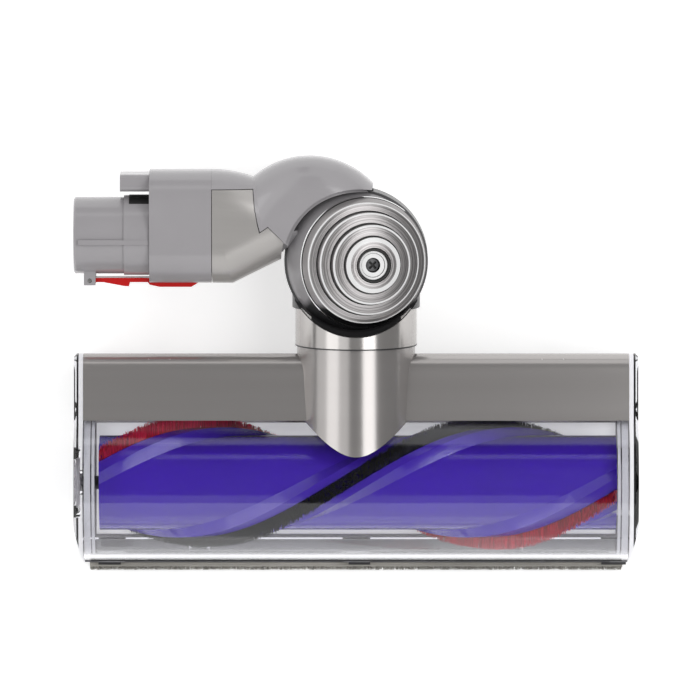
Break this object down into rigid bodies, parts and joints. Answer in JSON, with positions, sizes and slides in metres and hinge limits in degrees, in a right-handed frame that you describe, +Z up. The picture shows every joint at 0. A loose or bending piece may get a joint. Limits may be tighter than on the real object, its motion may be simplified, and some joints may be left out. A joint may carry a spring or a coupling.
{
  "type": "vacuum floor head",
  "caption": "Powered vacuum floor head: clear housing over a spiral brush bar, rear duct, twisting neck and ball elbow with a latched wand spigot.",
  "frame": {"origin": "middle of the footprint, on the floor", "axes": "+Z up, +Y to the rear where the neck is, +X to the right"},
  "size_m": [0.25, 0.1832, 0.0785],
  "materials": {
    "metal_look": "metallised gloss",
    "clear": "clear gloss",
    "dark": "satin",
    "grey": "gloss",
    "ring": "gloss",
    "purple": "gloss",
    "red_nylon": "bristle",
    "black_filament": "bristle",
    "red": "gloss",
    "felt": "pile",
    "roller": "satin",
    "steel": "ground",
    "motor": "satin",
    "contact": "plated"
  },
  "bodies": {
    "head": {"rear_housing": "metal_look", "clear_housing": "clear", "left_end_cap": "clear", "right_end_cap": "clear", "sole_plate": "dark", "front_felt_strip": "felt", "rear_axle_left": "steel", "rear_axle_right": "steel", "front_axle_left": "steel", "front_axle_right": "steel", "drive_motor": "motor", "spindle_bush": "dark"},
    "brush_bar": {"brush_tube": "purple", "bristle_row": "red_nylon", "filament_row": "black_filament", "spindle_plug": "dark", "motor_bearing": "dark"},
    "rear_wheel_left": {"rear_wheel_left": "roller"},
    "rear_wheel_right": {"rear_wheel_right": "roller"},
    "front_roller_left": {"front_roller_left": "roller"},
    "front_roller_right": {"front_roller_right": "roller"},
    "coin_lock": {"end_cap_lock": "grey"},
    "neck": {"swivel_cuff": "metal_look", "knuckle": "dark"},
    "elbow": {"elbow_duct": "dark", "elbow_hood": "grey", "elbow_cover_upper": "metal_look", "elbow_cover_lower": "metal_look", "connector_sleeve": "grey", "wand_spigot": "grey", "latch_pin": "steel", "terminal_boss": "grey", "contact_upper": "contact", "contact_lower": "contact", "ringed_cap_upper": "ring", "ringed_cap_lower": "ring", "cap_screw_upper": "steel", "cap_screw_lower": "steel", "pivot_pin_upper": "steel", "pivot_pin_lower": "steel"},
    "latch": {"release_latch": "red"}
  },
  "joints": [
    {"name": "brush_spin", "type": "hinge", "parent": "head", "child": "brush_bar", "pos_m": [0, -0.05362, 0.031], "axis": [1, 0, 0], "continuous": true},
    {"name": "rear_wheel_left_spin", "type": "hinge", "parent": "head", "child": "rear_wheel_left", "pos_m": [-0.088, -0.00462, 0.007], "axis": [1, 0, 0], "continuous": true},
    {"name": "rear_wheel_right_spin", "type": "hinge", "parent": "head", "child": "rear_wheel_right", "pos_m": [0.088, -0.00462, 0.007], "axis": [1, 0, 0], "continuous": true},
    {"name": "front_roller_left_spin", "type": "hinge", "parent": "head", "child": "front_roller_left", "pos_m": [-0.07, -0.08322, 0.0042], "axis": [1, 0, 0], "continuous": true},
    {"name": "front_roller_right_spin", "type": "hinge", "parent": "head", "child": "front_roller_right", "pos_m": [0.07, -0.08322, 0.0042], "axis": [1, 0, 0], "continuous": true},
    {"name": "coin_lock_turn", "type": "hinge", "parent": "head", "child": "coin_lock", "pos_m": [-0.123, -0.05362, 0.031], "axis": [1, 0, 0], "range_deg": [0, 90]},
    {"name": "neck_twist", "type": "hinge", "parent": "head", "child": "neck", "pos_m": [0, 0.04558, 0.0466], "axis": [0, 0.9945, 0.1045], "range_deg": [0, 180]},
    {"name": "elbow_pivot", "type": "hinge", "parent": "neck", "child": "elbow", "pos_m": [0, 0.04558, 0.0466], "axis": [0, -0.1045, 0.9945], "range_deg": [-90, 0]},
    {"name": "latch_press", "type": "hinge", "parent": "elbow", "child": "latch", "pos_m": [-0.118, 0.03668, 0.04566], "axis": [0, -0.1045, 0.9945], "range_deg": [0, 1.6], "stiffness_Nm_per_rad": 1, "springref_deg": -3.44}
  ]
}
